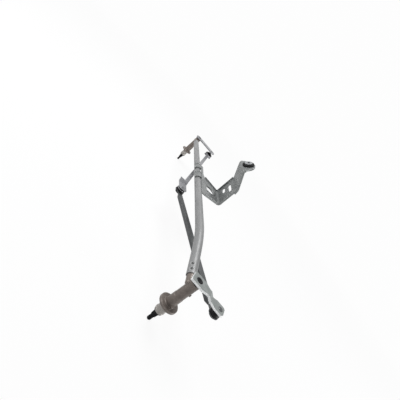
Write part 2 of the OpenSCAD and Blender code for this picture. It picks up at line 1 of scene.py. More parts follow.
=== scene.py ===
# %% [markdown]
# # A wiper linkage, dressed in Blender
# The linkage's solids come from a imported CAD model, one object for each real piece, and
# they already sit where they belong. This lesson gives each piece its finish, adds the
# small things a solid model leaves out (threads, knurls, crimp rims, casting marks), and
# sets up a camera and soft light. Everything is in metres, in the CAD model's own frame:
# X runs along the tube, and the wiper spindles point down, to -Z.

# %% Load the frame
import json
import math

import bpy
from mathutils import Matrix, Vector


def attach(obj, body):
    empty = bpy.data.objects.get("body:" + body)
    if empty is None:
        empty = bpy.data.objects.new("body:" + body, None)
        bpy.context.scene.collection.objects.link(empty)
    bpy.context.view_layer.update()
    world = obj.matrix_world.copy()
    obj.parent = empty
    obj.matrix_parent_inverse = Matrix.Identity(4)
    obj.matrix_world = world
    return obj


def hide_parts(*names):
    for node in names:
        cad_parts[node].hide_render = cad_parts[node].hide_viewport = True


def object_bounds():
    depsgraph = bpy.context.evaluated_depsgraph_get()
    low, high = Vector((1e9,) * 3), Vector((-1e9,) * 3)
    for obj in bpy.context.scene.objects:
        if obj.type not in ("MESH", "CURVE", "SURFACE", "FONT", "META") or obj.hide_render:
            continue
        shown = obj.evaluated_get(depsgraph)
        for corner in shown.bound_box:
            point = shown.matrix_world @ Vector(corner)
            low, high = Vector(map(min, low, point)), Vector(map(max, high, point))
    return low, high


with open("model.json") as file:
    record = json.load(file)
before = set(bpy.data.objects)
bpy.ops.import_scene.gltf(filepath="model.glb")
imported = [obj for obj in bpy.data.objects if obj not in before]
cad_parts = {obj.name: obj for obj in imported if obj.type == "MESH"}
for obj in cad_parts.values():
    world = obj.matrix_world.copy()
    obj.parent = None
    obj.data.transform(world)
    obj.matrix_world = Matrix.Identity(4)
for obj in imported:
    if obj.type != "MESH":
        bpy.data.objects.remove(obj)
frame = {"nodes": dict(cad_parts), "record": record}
nodes = frame["nodes"]
cad_low, cad_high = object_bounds()
bpy.ops.object.select_all(action="DESELECT")
print("pieces loaded:", len(nodes))

# %% [markdown]
# ## Camera
# The picture was taken from close to the near housing, looking along the tube, so the
# near end is large and the far end small. A short lens close by gives the same strong
# perspective. The camera also leans: its own right and up directions are written out as
# the columns of a matrix, which is easier to read than three angles.

# %% Camera
CAMERA_PLACE = Vector((-0.3515, 0.2394, 0.30195))
CAMERA_RIGHT = Vector((-0.0005, -0.69175, 0.72213))
CAMERA_UP = Vector((0.47316, 0.63602, 0.60959))
CAMERA_BACK = CAMERA_RIGHT.cross(CAMERA_UP)
SENSOR_MM, LENS_MM = 36, 27

camera_data = bpy.data.cameras.new("photo_camera")
camera_data.sensor_width = SENSOR_MM
camera_data.lens = LENS_MM
camera_data.clip_start = 0.01
camera = bpy.data.objects.new("photo_camera", camera_data)
bpy.context.scene.collection.objects.link(camera)
turn = Matrix((CAMERA_RIGHT, CAMERA_UP, CAMERA_BACK)).transposed()
camera.matrix_world = Matrix.Translation(CAMERA_PLACE) @ turn.to_4x4()
bpy.context.scene.camera = camera
print("camera looks along", [round(-c, 2) for c in CAMERA_BACK])

# %% [markdown]
# ## Floor, backdrop and light
# The linkage is shown on plain white. The floor lies just under the lowest spindle tip.
# For the camera and for mirror-like reflections, both the world and the floor are white
# with a strength of 1, while the light that reaches the metal stays moderate. The floor
# mixes that white with an ordinary diffuse surface, so it still takes the soft shadow.

# %% Floor and world
FLOOR_Z = cad_low.z - 0.0005
FLOOR_X, FLOOR_SIZE = 0.38, 40
PAPER_WHITE = (0.985, 0.985, 0.985, 1)
FADE_START, FADE_END = 0.5, 2
WHITE_NEAR, WHITE_FAR = 0.93, 1

bpy.ops.mesh.primitive_plane_add(size=FLOOR_SIZE, location=(FLOOR_X, 0, FLOOR_Z))
floor = bpy.context.object
floor.name = "floor"


def white_to_camera(tree):
    """1 for rays from the camera, from reflections or through glass, otherwise 0."""
    path = tree.nodes.new("ShaderNodeLightPath")
    seen = tree.nodes.new("ShaderNodeMath")
    seen.operation = "MAXIMUM"
    seen_through = tree.nodes.new("ShaderNodeMath")
    seen_through.operation = "MAXIMUM"
    tree.links.new(path.outputs["Is Camera Ray"], seen.inputs[0])
    tree.links.new(path.outputs["Is Glossy Ray"], seen.inputs[1])
    tree.links.new(seen.outputs[0], seen_through.inputs[0])
    tree.links.new(path.outputs["Is Transmission Ray"], seen_through.inputs[1])
    return seen_through.outputs[0]


floor_paint = bpy.data.materials.new("floor_white")
floor_paint.use_nodes = True
tree = floor_paint.node_tree
tree.nodes.clear()
matt = tree.nodes.new("ShaderNodeBsdfDiffuse")
matt.inputs["Color"].default_value = (0.9, 0.9, 0.9, 1)
glow = tree.nodes.new("ShaderNodeEmission")
glow.inputs["Color"].default_value = PAPER_WHITE
where = tree.nodes.new("ShaderNodeTexCoord")
away = tree.nodes.new("ShaderNodeVectorMath")
away.operation = "LENGTH"
tree.links.new(where.outputs["Object"], away.inputs[0])
fade = tree.nodes.new("ShaderNodeMapRange")
fade.inputs["From Min"].default_value = FADE_START
fade.inputs["From Max"].default_value = FADE_END
fade.inputs["To Min"].default_value = WHITE_NEAR
fade.inputs["To Max"].default_value = WHITE_FAR
tree.links.new(away.outputs["Value"], fade.inputs["Value"])
share = tree.nodes.new("ShaderNodeMath")
share.operation = "MULTIPLY"
tree.links.new(white_to_camera(tree), share.inputs[0])
tree.links.new(fade.outputs["Result"], share.inputs[1])
mix = tree.nodes.new("ShaderNodeMixShader")
tree.links.new(share.outputs[0], mix.inputs["Fac"])
tree.links.new(matt.outputs[0], mix.inputs[1])
tree.links.new(glow.outputs[0], mix.inputs[2])
tree.links.new(mix.outputs[0], tree.nodes.new("ShaderNodeOutputMaterial").inputs["Surface"])
floor.data.materials.append(floor_paint)

world = bpy.data.worlds.new("studio")
bpy.context.scene.world = world
world.use_nodes = True
tree = world.node_tree
tree.nodes.clear()
soft = tree.nodes.new("ShaderNodeBackground")
soft.inputs["Color"].default_value = (0.95, 0.97, 1, 1)
soft.inputs["Strength"].default_value = 0.22
white = tree.nodes.new("ShaderNodeBackground")
white.inputs["Color"].default_value = PAPER_WHITE
white.inputs["Strength"].default_value = 1
mix = tree.nodes.new("ShaderNodeMixShader")
tree.links.new(white_to_camera(tree), mix.inputs["Fac"])
tree.links.new(soft.outputs[0], mix.inputs[1])
tree.links.new(white.outputs[0], mix.inputs[2])
tree.links.new(mix.outputs[0], tree.nodes.new("ShaderNodeOutputWorld").inputs["Surface"])
bpy.context.scene.view_settings.view_transform = "Standard"
print("floor at", round(FLOOR_Z, 4))

# %% [markdown]
# Three large soft lamps do the rest: a broad one above, a weaker one from the left that
# keeps the cast housings from going dull, and one from the right that draws a pale line
# along the shaded side of the barrels.

# %% Lamps
MIDDLE = Vector((0.38, -0.02, 0.08))


def soft_lamp(name, place, size, power):
    """A round lamp that faces the part; size in metres, power in watts."""
    data = bpy.data.lights.new(name, "AREA")
    data.shape = "DISK"
    data.size = size
    data.energy = power
    lamp = bpy.data.objects.new(name, data)
    lamp.location = place
    lamp.rotation_euler = (MIDDLE - Vector(place)).to_track_quat("-Z", "Y").to_euler()
    bpy.context.scene.collection.objects.link(lamp)


soft_lamp("lamp_above", (0.75, 0.3, 1.55), 1.0, 26)
soft_lamp("lamp_left", (0.2, 1.6, 0.5), 0.9, 14)
soft_lamp("lamp_right", (-0.5, -1.3, 0.2), 0.7, 15)

# %% [markdown]
# ## Shared surface effects
# Real metal is never one flat colour. Three effects turn up on most of these pieces, so
# each is built once as a node group and reused with other values: edges that are rubbed
# bright, a mottled coating such as zinc, and a fine grain that breaks up the highlights.
# Every group reads Object coordinates, so the pattern stays put when a piece moves.

# %% Helper for node groups


def new_group(name, inputs, outputs):
    """An empty shader group with its sockets, and its two end nodes."""
    group = bpy.data.node_groups.new(name, "ShaderNodeTree")
    for label, kind, value in inputs:
        socket = group.interface.new_socket(label, in_out="INPUT", socket_type=kind)
        socket.default_value = value
    for label, kind in outputs:
        group.interface.new_socket(label, in_out="OUTPUT", socket_type=kind)
    return group, group.nodes.new("NodeGroupInput"), group.nodes.new("NodeGroupOutput")


# %% [markdown]
# Rubbed edges: the Bevel node gives the normal as it would be on a rounded edge. Where
# that differs from the true normal there is an edge. A noise breaks the line up, because
# wear is never even. The same rounded normal is put out too, so edges catch the light.

# %% Group: worn edges
NUMBER, COLOUR, VECTOR = "NodeSocketFloat", "NodeSocketColor", "NodeSocketVector"

worn_edges, given, result = new_group(
    "worn_edges",
    [("Radius", NUMBER, 0.0005), ("Scale", NUMBER, 300.0)],
    [("Mask", NUMBER), ("Normal", VECTOR)],
)
parts, links = worn_edges.nodes, worn_edges.links
rounded = parts.new("ShaderNodeBevel")
rounded.samples = 6
true_normal = parts.new("ShaderNodeNewGeometry")
same = parts.new("ShaderNodeVectorMath")
same.operation = "DOT_PRODUCT"
edge = parts.new("ShaderNodeMapRange")
edge.inputs["From Min"].default_value = 0.995
edge.inputs["From Max"].default_value = 0.86
where = parts.new("ShaderNodeTexCoord")
patches = parts.new("ShaderNodeTexNoise")
patches.inputs["Detail"].default_value = 3
uneven = parts.new("ShaderNodeMapRange")
uneven.inputs["From Min"].default_value = 0.38
uneven.inputs["From Max"].default_value = 0.62
both = parts.new("ShaderNodeMath")
both.operation = "MULTIPLY"
links.new(given.outputs["Radius"], rounded.inputs["Radius"])
links.new(rounded.outputs["Normal"], same.inputs[0])
links.new(true_normal.outputs["Normal"], same.inputs[1])
links.new(same.outputs["Value"], edge.inputs["Value"])
links.new(where.outputs["Object"], patches.inputs["Vector"])
links.new(given.outputs["Scale"], patches.inputs["Scale"])
links.new(patches.outputs["Fac"], uneven.inputs["Value"])
links.new(edge.outputs["Result"], both.inputs[0])
links.new(uneven.outputs["Result"], both.inputs[1])
links.new(both.outputs[0], result.inputs["Mask"])
links.new(rounded.outputs["Normal"], result.inputs["Normal"])
print("group made:", worn_edges.name)

# %% [markdown]
# Mottled coating: zinc plating and galvanising dry in cloudy patches with faint crystals.
# A large noise makes the clouds, Voronoi cells make the crystals, and the sum runs from
# a dark to a light colour. Stretch draws the clouds out along one direction, as on a
# tube that was drawn through a die.

# %% Group: mottled coating
mottled, given, result = new_group(
    "mottled_coating",
    [
        ("Dark", COLOUR, (0.2, 0.2, 0.2, 1)),
        ("Light", COLOUR, (0.4, 0.4, 0.4, 1)),
        ("Scale", NUMBER, 60.0),
        ("Crystals", NUMBER, 0.3),
        ("Stretch", VECTOR, (1.0, 1.0, 1.0)),
    ],
    [("Color", COLOUR), ("Value", NUMBER)],
)
parts, links = mottled.nodes, mottled.links
where = parts.new("ShaderNodeTexCoord")
stretch = parts.new("ShaderNodeMapping")
clouds = parts.new("ShaderNodeTexNoise")
clouds.inputs["Detail"].default_value = 5
clouds.inputs["Roughness"].default_value = 0.6
finer = parts.new("ShaderNodeMath")
finer.operation = "MULTIPLY"
finer.inputs[1].default_value = 9
cells = parts.new("ShaderNodeTexVoronoi")
cell_grey = parts.new("ShaderNodeSeparateColor")
share = parts.new("ShaderNodeMix")
spread = parts.new("ShaderNodeMapRange")
spread.inputs["From Min"].default_value = 0.3
spread.inputs["From Max"].default_value = 0.7
tint = parts.new("ShaderNodeMix")
tint.data_type = "RGBA"
links.new(where.outputs["Object"], stretch.inputs["Vector"])
links.new(given.outputs["Stretch"], stretch.inputs["Scale"])
links.new(stretch.outputs["Vector"], clouds.inputs["Vector"])
links.new(given.outputs["Scale"], clouds.inputs["Scale"])
links.new(given.outputs["Scale"], finer.inputs[0])
links.new(stretch.outputs["Vector"], cells.inputs["Vector"])
links.new(finer.outputs[0], cells.inputs["Scale"])
links.new(cells.outputs["Color"], cell_grey.inputs["Color"])
links.new(given.outputs["Crystals"], share.inputs["Factor"])
links.new(clouds.outputs["Fac"], share.inputs["A"])
links.new(cell_grey.outputs["Red"], share.inputs["B"])
links.new(share.outputs["Result"], spread.inputs["Value"])
links.new(spread.outputs["Result"], tint.inputs["Factor"])
links.new(given.outputs["Dark"], tint.inputs["A"])
links.new(given.outputs["Light"], tint.inputs["B"])
links.new(tint.outputs["Result"], result.inputs["Color"])
links.new(spread.outputs["Result"], result.inputs["Value"])
print("group made:", mottled.name)

# %% [markdown]
# Fine grain: a sharp noise with small pits gives a height for the Bump node. A sand-cast
# or die-cast skin has deep pits, rolled sheet has almost none, so the share of pits is
# an input.

# %% Group: surface grain
grain, given, result = new_group(
    "surface_grain",
    [("Scale", NUMBER, 900.0), ("Pits", NUMBER, 0.3), ("Stretch", VECTOR, (1.0, 1.0, 1.0))],
    [("Height", NUMBER)],
)
parts, links = grain.nodes, grain.links
where = parts.new("ShaderNodeTexCoord")
stretch = parts.new("ShaderNodeMapping")
fine = parts.new("ShaderNodeTexNoise")
fine.inputs["Detail"].default_value = 4
pits = parts.new("ShaderNodeTexVoronoi")
deep = parts.new("ShaderNodeMapRange")
deep.inputs["From Min"].default_value = 0.05
deep.inputs["From Max"].default_value = 0.4
share = parts.new("ShaderNodeMix")
links.new(where.outputs["Object"], stretch.inputs["Vector"])
links.new(given.outputs["Stretch"], stretch.inputs["Scale"])
links.new(stretch.outputs["Vector"], fine.inputs["Vector"])
links.new(stretch.outputs["Vector"], pits.inputs["Vector"])
links.new(given.outputs["Scale"], fine.inputs["Scale"])
links.new(given.outputs["Scale"], pits.inputs["Scale"])
links.new(pits.outputs["Distance"], deep.inputs["Value"])
links.new(given.outputs["Pits"], share.inputs["Factor"])
links.new(fine.outputs["Fac"], share.inputs["A"])
links.new(deep.outputs["Result"], share.inputs["B"])
links.new(share.outputs["Result"], result.inputs["Height"])
print("group made:", grain.name)

# %% [markdown]
# ## Finishes
# One function puts the three groups round a Principled shader. A finish is then a short
# list of values: the dark and light tone of the coating, the bright tone of a rubbed edge,
# how rough and how metallic it is, and the size of its pattern. What stays the same over
# the whole surface is set on the shader's own sockets. The bright edge tone can also be
# laid on the upright sides of a plate, part bare cut edge and part painted highlight.

# %% Function for a finish


def add_group(tree, group, values):
    node = tree.nodes.new("ShaderNodeGroup")
    node.node_tree = group
    for label, value in values.items():
        node.inputs[label].default_value = value
    return node


def add_cut_sides_with_sheen(tree, bare_and_sheen, cut_side_sheen):
    """Adds the upright sides of a level plate to the bright mask: part cut edge, part painted
    highlight.
    """
    facing = tree.nodes.new("ShaderNodeTexCoord")
    split = tree.nodes.new("ShaderNodeSeparateXYZ")
    tree.links.new(facing.outputs["Normal"], split.inputs[0])
    level = tree.nodes.new("ShaderNodeMath")
    level.operation = "ABSOLUTE"
    tree.links.new(split.outputs["Z"], level.inputs[0])
    upright = tree.nodes.new("ShaderNodeMapRange")
    upright.inputs["From Min"].default_value = 0.5
    upright.inputs["From Max"].default_value = 0.2
    upright.inputs["To Max"].default_value = cut_side_sheen
    tree.links.new(level.outputs[0], upright.inputs["Value"])
    either = tree.nodes.new("ShaderNodeMath")
    either.operation = "MAXIMUM"
    tree.links.new(bare_and_sheen, either.inputs[0])
    tree.links.new(upright.outputs["Result"], either.inputs[1])
    return either.outputs[0]


def finish(name, dark, light, edge, rough, metallic, clouds, grain_size, pits, bump,
           crystals=0.1, wear=0.6, stretch=(1, 1, 1), edge_r=0.0005, shine=0.5, cut_side_sheen=0.0):
    """A coated surface; colours are linear, rough is (lowest, highest)."""
    paint = bpy.data.materials.new(name)
    paint.use_nodes = True
    tree = paint.node_tree
    shader = tree.nodes["Principled BSDF"]
    shader.inputs["Metallic"].default_value = metallic
    shader.inputs["Specular IOR Level"].default_value = shine
    coat = add_group(tree, mottled, {"Dark": (*dark, 1), "Light": (*light, 1), "Scale": clouds,
                                     "Crystals": crystals, "Stretch": stretch})
    worn = add_group(tree, worn_edges, {"Radius": edge_r, "Scale": clouds * 4})
    skin = add_group(tree, grain, {"Scale": grain_size, "Pits": pits, "Stretch": stretch})
    amount = tree.nodes.new("ShaderNodeMath")
    amount.operation = "MULTIPLY"
    amount.inputs[1].default_value = wear
    tree.links.new(worn.outputs["Mask"], amount.inputs[0])
    bare_and_sheen = amount.outputs[0]
    # Painted highlight: upright sides get the bright edge tone, partly standing for bare cut
    # edges.
    if cut_side_sheen:
        bare_and_sheen = add_cut_sides_with_sheen(tree, bare_and_sheen, cut_side_sheen)
    rubbed_and_sheen = tree.nodes.new("ShaderNodeMix")
    rubbed_and_sheen.data_type = "RGBA"
    rubbed_and_sheen.inputs["B"].default_value = (*edge, 1)
    tree.links.new(bare_and_sheen, rubbed_and_sheen.inputs["Factor"])
    tree.links.new(coat.outputs["Color"], rubbed_and_sheen.inputs["A"])
    tree.links.new(rubbed_and_sheen.outputs["Result"], shader.inputs["Base Color"])
    gloss = tree.nodes.new("ShaderNodeMapRange")
    gloss.inputs["To Min"].default_value = rough[1]
    gloss.inputs["To Max"].default_value = rough[0]
    tree.links.new(coat.outputs["Value"], gloss.inputs["Value"])
    tree.links.new(gloss.outputs["Result"], shader.inputs["Roughness"])
    height = tree.nodes.new("ShaderNodeBump")
    height.inputs["Strength"].default_value = bump
    height.inputs["Distance"].default_value = 0.0004
    tree.links.new(skin.outputs["Height"], height.inputs["Height"])
    tree.links.new(worn.outputs["Normal"], height.inputs["Normal"])
    tree.links.new(height.outputs["Normal"], shader.inputs["Normal"])
    return paint


# %% [markdown]
# The tube is galvanised, with streaks along its length. The housings are die-cast alloy
# that has darkened to a brown grey. Levers and the bracket are zinc-plated sheet, each
# batch with its own tone; the links are the same plating, painted dark as painted shade.
# Spindles are blackened steel, and the small hidden pieces are bronze, bright steel, rubber
# and plastic.

# %% The ten finishes
FINISHES = {
    "tube_steel": finish("galvanised_tube", (0.165, 0.167, 0.168), (0.225, 0.227, 0.228),
                         (0.36, 0.36, 0.36), (0.4, 0.54), 0.3, 60, 1500, 0.2, 0.08,
                         stretch=(0.2, 1, 1)),
    "cast_alloy": finish("die_cast_alloy", (0.095, 0.078, 0.068), (0.155, 0.131, 0.116),
                         (0.3, 0.27, 0.25), (0.34, 0.5), 0.3, 80, 1700, 0.6, 0.15, wear=0.8),
    "bracket_steel": finish("plated_bracket", (0.125, 0.132, 0.131), (0.195, 0.203, 0.202),
                            (0.7, 0.71, 0.71), (0.34, 0.46), 0.35, 40, 1300, 0.15, 0.05,
                            wear=1.0, edge_r=0.0009),
    # The levers' upright sides take the bright edge tone: part cut edge, part painted
    # highlight.
    "lever_steel": finish("plated_lever", (0.17, 0.187, 0.181), (0.27, 0.288, 0.28),
                          (0.9, 0.91, 0.91), (0.28, 0.44), 0.4, 70, 1300, 0.15, 0.08,
                          wear=0.7, edge_r=0.0006, cut_side_sheen=0.75),
    # Painted shade: this link plating is painted dark, the way the near link looks in shade.
    "link_steel": finish("shaded_link_plating", (0.032, 0.036, 0.037), (0.066, 0.07, 0.072),
                         (0.4, 0.4, 0.42), (0.34, 0.5), 0.35, 70, 1300, 0.15, 0.08,
                         wear=1.0, stretch=(0.4, 1, 1)),
    "bright_steel": finish("bright_steel", (0.22, 0.228, 0.235), (0.36, 0.37, 0.38),
                           (0.6, 0.6, 0.61), (0.25, 0.4), 0.6, 120, 1800, 0.1, 0.06),
    "black_steel": finish("blackened_steel", (0.005, 0.005, 0.006), (0.012, 0.012, 0.013),
                          (0.1, 0.1, 0.105), (0.55, 0.72), 0.1, 160, 2000, 0.4, 0.2,
                          edge_r=0.00025, wear=0.2, shine=0.12),
    "bronze": finish("sintered_bronze", (0.22, 0.14, 0.07), (0.36, 0.25, 0.13),
                     (0.5, 0.36, 0.2), (0.38, 0.55), 0.85, 140, 2400, 0.6, 0.2),
    "rubber": finish("bush_rubber", (0.003, 0.003, 0.003), (0.008, 0.008, 0.008),
                     (0.025, 0.025, 0.025), (0.5, 0.72), 0.0, 120, 1600, 0.3, 0.25, wear=0.3,
                     shine=0.15),
    "black_plastic": finish("black_plastic", (0.004, 0.004, 0.005), (0.01, 0.01, 0.011),
                            (0.05, 0.05, 0.05), (0.38, 0.58), 0.0, 130, 1400, 0.2, 0.15,
                            wear=0.3, shine=0.15),
}
print("finishes:", ", ".join(FINISHES))

# %% [markdown]
# The CAD record already says which finish slot each piece belongs to, so the pieces can
# be painted in one loop. The far link and the far lever then get a paler copy of the link
# plating as painted light, and the rivet heads of the two ball studs get the dark link
# plating as painted shade.

# %% Paint the CAD pieces
for part in frame["record"]["subparts"]:
    surface = nodes[part["node"]].data
    surface.materials.clear()
    surface.materials.append(FINISHES[part["material_slot"]])
# Painted light: a paler copy of the link plating, for the far link and the far lever.
lit_link_paint = finish("lit_link_plating", (0.2, 0.202, 0.212), (0.28, 0.282, 0.295),
                   (0.6, 0.6, 0.62), (0.32, 0.48), 0.4, 50, 1300, 0.15, 0.05, wear=1.0)
nodes["far_link_rod"].data.materials[0] = lit_link_paint
nodes["far_lever"].data.materials[0] = lit_link_paint
# Painted shade: the rivet heads of the ball studs take the dark link plating.
for stud in ("near_ball_stud", "far_ball_stud"):
    nodes[stud].data.materials[0] = FINISHES["link_steel"]

# %% [markdown]
# ## Tools for the small pieces
# Most of the details on this object were turned on a lathe. By hand, one would draw a
# circle, then extrude and scale it step by step up the profile, and that is what this
# helper does. A solid piece starts as a filled disc. A ring starts as an open circle, goes
# once round its profile and is closed by merging the last circle with the first.

# %% Lathe helper
MM = 0.001


def edit(piece, what="SELECT"):
    """Goes into edit mode on one piece, with all or nothing of it selected."""
    bpy.ops.object.select_all(action="DESELECT")
    piece.select_set(True)
    bpy.context.view_layer.objects.active = piece
    bpy.ops.object.mode_set(mode="EDIT")
    bpy.ops.mesh.select_mode(type="VERT")
    bpy.ops.mesh.select_all(action=what)


def leave_edit():
    bpy.ops.object.mode_set(mode="OBJECT")


def turned(name, profile, sides=72, ring=False):
    """A turned piece on the Z axis; profile is a list of (height, radius) in mm."""
    bpy.ops.object.select_all(action="DESELECT")
    height, radius = profile[0]
    bpy.ops.mesh.primitive_circle_add(vertices=sides, radius=radius * MM,
                                      fill_type="NOTHING" if ring else "NGON",
                                      location=(0, 0, height * MM))
    piece = bpy.context.object
    piece.name = name
    bpy.ops.object.transform_apply(location=True, rotation=True, scale=True)
    edit(piece)
    for next_height, next_radius in profile[1:] + (profile[:1] if ring else []):
        step = (0, 0, (next_height - height) * MM)
        grow = next_radius / radius
        bpy.ops.mesh.extrude_region_move(TRANSFORM_OT_translate={"value": step})
        bpy.ops.transform.resize(value=(grow, grow, 1),
                                 center_override=(0, 0, next_height * MM))
        height, radius = next_height, next_radius
    bpy.ops.mesh.select_all(action="SELECT")
    bpy.ops.mesh.remove_doubles(threshold=1e-6)
    bpy.ops.mesh.normals_make_consistent(inside=False)
    leave_edit()
    bpy.ops.object.shade_smooth_by_angle(angle=math.radians(32))
    return piece


# %% [markdown]
# Each finished piece is moved to its place, the move is applied so that the object itself
# stays at the origin, and then it gets its finish, looked up by its slot unless a paint is
# given, and the CAD body it rides on.

# %% Placing and copying


def apply_place(piece, place):
    bpy.ops.object.select_all(action="DESELECT")
    piece.select_set(True)
    bpy.context.view_layer.objects.active = piece
    piece.matrix_world = place
    bpy.ops.object.transform_apply(location=True, rotation=True, scale=True)


def settle(piece, body, slot, place=Matrix.Identity(4), paint=None):
    """Puts a piece in its place, paints it and lets it ride on its body."""
    apply_place(piece, place)
    piece.data.materials.clear()
    piece.data.materials.append(paint or FINISHES[slot])
    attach(piece, body)
    return piece


def twin(piece, name):
    """A copy with a mesh of its own."""
    copy = piece.copy()
    copy.data = piece.data.copy()
    copy.name = name
    bpy.context.scene.collection.objects.link(copy)
    return copy


def apply_all(piece):
    """Applies the modifiers of a piece in their order."""
    bpy.ops.object.select_all(action="DESELECT")
    piece.select_set(True)
    bpy.context.view_layer.objects.active = piece
    for step in list(piece.modifiers):
        bpy.ops.object.modifier_apply(modifier=step.name)


PIVOT_SPACING = 0.766
FAR = Matrix.Translation((PIVOT_SPACING, 0, 0))

# %% [markdown]
# ## Spindles
# A wiper spindle is the finest turned piece here. At the top it is peened over the lever,
# which leaves a shallow dish. At the bottom come the groove for the retaining ring, a
# knurled cone that grips the wiper arm, and a thread for the nut. The cone's teeth are made
# by pulling in every second point of its two circles.

# %% Spindle body with a knurled cone
CONE_TOP, CONE_END = -26.4, -35.8
spindle = turned("near_spindle_turned", [
    (72.7, 1.2), (72.8, 2.4), (73.5, 3.6), (73.7, 4.4), (73.6, 5.6), (73.25, 6.3),
    (73.02, 6.4), (73.02, 5.0), (69.0, 5.0),
    (69.0, 6.0), (-22.9, 6.0), (-22.9, 5.3), (-24.1, 5.3), (-24.1, 6.0), (-25.9, 6.0),
    (-26.1, 5.5), (CONE_TOP, 5.75), (CONE_END, 4.9), (-36.1, 4.3), (-36.3, 3.35),
    (-47.5, 3.35), (-48.3, 2.8),
])
edit(spindle, "DESELECT")
leave_edit()
for point in spindle.data.vertices:
    on_cone = min(abs(point.co.z / MM - CONE_TOP), abs(point.co.z / MM - CONE_END)) < 0.05
    tooth = round(math.degrees(math.atan2(point.co.y, point.co.x)) / 5)
    point.select = on_cone and tooth % 2 == 0
bpy.ops.object.mode_set(mode="EDIT")
bpy.ops.transform.resize(value=(0.92, 0.92, 1), center_override=(0, 0, 0))
leave_edit()
print("spindle points:", len(spindle.data.vertices))

# %% [markdown]
# The thread is one small diamond carried round and down by the Screw modifier. Its inner
# half lies in the spindle's core, so only the sharp ridge shows. The two open ends are
# capped afterwards.

# %% Thread
PITCH, TURNS = 1.25, 8
RIDGE, RIDGE_R, THREAD_END = 0.6, 3.28, -47.3
bpy.ops.object.select_all(action="DESELECT")
bpy.ops.mesh.primitive_circle_add(vertices=4, radius=RIDGE * MM, fill_type="NOTHING",
                                  location=(RIDGE_R * MM, 0, THREAD_END * MM),
                                  rotation=(math.pi / 2, 0, 0))
thread = bpy.context.object
bpy.ops.object.transform_apply(location=True, rotation=True, scale=True)
wind = thread.modifiers.new("wind", "SCREW")
wind.axis = "Z"
wind.screw_offset = PITCH * MM
wind.iterations = TURNS
wind.steps = wind.render_steps = 36
apply_all(thread)
edit(thread)
bpy.ops.mesh.remove_doubles(threshold=1e-6)
bpy.ops.mesh.fill_holes(sides=4)
bpy.ops.mesh.normals_make_consistent(inside=False)
leave_edit()
bpy.ops.object.select_all(action="DESELECT")
thread.select_set(True)
spindle.select_set(True)
bpy.context.view_layer.objects.active = spindle
bpy.ops.object.join()
far_spindle = twin(spindle, "far_spindle_turned")
settle(spindle, "near_arm", "black_steel")
settle(far_spindle, "far_arm", "black_steel", FAR)
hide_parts("near_spindle")
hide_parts("far_spindle")
print("spindle faces with thread:", len(spindle.data.polygons))

# %% [markdown]
# ## Machined necks
# The neck below each flange passes through the car's panel, so it is turned bright after
# casting, and it looks paler than the rest of the housing. A thin turned skin with two
# raised bands and two tool grooves covers the cast surface there.

# %% Neck skins
bright_alloy = finish("machined_alloy", (0.18, 0.168, 0.155), (0.34, 0.32, 0.30),
                      (0.6, 0.58, 0.56), (0.2, 0.36), 0.5, 90, 1800, 0.2, 0.08,
                      wear=0.9, stretch=(1, 1, 6))
NECK_R, BAND_R, GROOVE_R = 9.4, 9.8, 9.28
groove_steps = []
for height, wide in ((-18, BAND_R), (-12.5, GROOVE_R), (-8, GROOVE_R), (-3.5, BAND_R)):
    groove_steps += [(height - 0.8, NECK_R), (height - 0.6, wide), (height + 0.6, wide),
                     (height + 0.8, NECK_R)]
neck = turned("near_neck_skin", [(-21.5, 8.3), (-21.5, 8.6), (-20.7, NECK_R)] + groove_steps
              + [(-0.4, NECK_R), (-0.1, BAND_R), (-0.05, 9.0), (-20.5, 8.9)], ring=True)
far_neck = twin(neck, "far_neck_skin")
settle(neck, "frame", "cast_alloy", paint=bright_alloy)
settle(far_neck, "frame", "cast_alloy", FAR, paint=bright_alloy)
print("neck skins:", neck.name, far_neck.name)

# %% [markdown]
# ## Casting seams
# Where the two halves of the casting die meet, a thin seam is left along the barrel. Each
# seam starts as a cube that is stretched along the barrel and bevelled to a low ridge.

# %% Seams on the barrels
SEAM_R, SEAM_Z, SEAM_SIZE = 9.55, 44, Vector((0.6, 0.8, 33))


def seam(name, angle):
    bpy.ops.object.select_all(action="DESELECT")
    bpy.ops.mesh.primitive_cube_add(size=1, location=(SEAM_R * MM, 0, SEAM_Z * MM))
    ridge = bpy.context.object
    ridge.name = name
    ridge.scale = SEAM_SIZE * MM
    bpy.ops.object.transform_apply(location=True, rotation=True, scale=True)
    edit(ridge, "DESELECT")
    leave_edit()
    for line in ridge.data.edges:
        ends = [ridge.data.vertices[i].co for i in line.vertices]
        line.select = min(end.x for end in ends) > 9.7 * MM
    bpy.ops.object.mode_set(mode="EDIT")
    bpy.ops.mesh.select_mode(type="EDGE")
    bpy.ops.mesh.bevel(offset=0.25 * MM, segments=3)
    leave_edit()
    apply_place(ridge, Matrix.Rotation(math.radians(angle), 4, "Z"))
    return ridge


for angle in (95, -60):
    ridge = seam(f"near_seam_{abs(angle)}", angle)
    far_ridge = twin(ridge, f"far_seam_{abs(angle)}")
    settle(ridge, "frame", "cast_alloy")
    settle(far_ridge, "frame", "cast_alloy", FAR)
print("seams on the two barrels: 4")

# %% [markdown]
# ## Crimps
# The tube is fixed on its stub by round crimps. The punch leaves a low, bright rim round
# each dimple, and a dark disc at the dimple's bottom is painted shade. Ring and disc are
# drawn flat above the tube, a Shrinkwrap modifier projects them down on its wall, and
# Solidify and Bevel give them a soft section.

